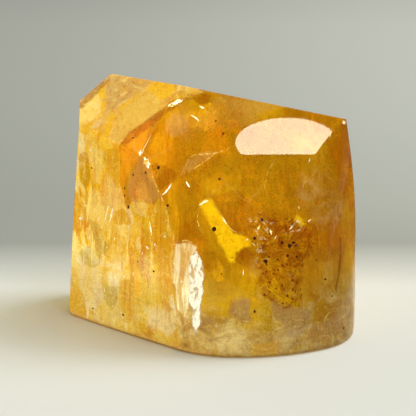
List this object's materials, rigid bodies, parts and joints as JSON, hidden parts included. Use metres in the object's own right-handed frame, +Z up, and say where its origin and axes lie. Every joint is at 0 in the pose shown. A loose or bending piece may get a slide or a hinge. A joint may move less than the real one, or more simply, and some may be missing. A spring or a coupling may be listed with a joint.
{
  "type": "polished golden healer quartz free-form",
  "caption": "Free-form block of golden healer quartz, cut and polished, that stands on its flat base: see-through honey gold with rusty veils.",
  "frame": {"origin": "on the surface it stands on, under the middle of the bounding box", "axes": "+X along the length of the block, towards its rounded right end; -Y towards the bulged front; +Z up"},
  "size_m": [0.082, 0.0512, 0.0699],
  "materials": {
    "golden_quartz": "polished, clear honey gold clouded by cream veils, orange-brown iron stain and dark specks"
  },
  "bodies": {
    "root": {"quartz_block": "golden_quartz"}
  },
  "joints": []
}
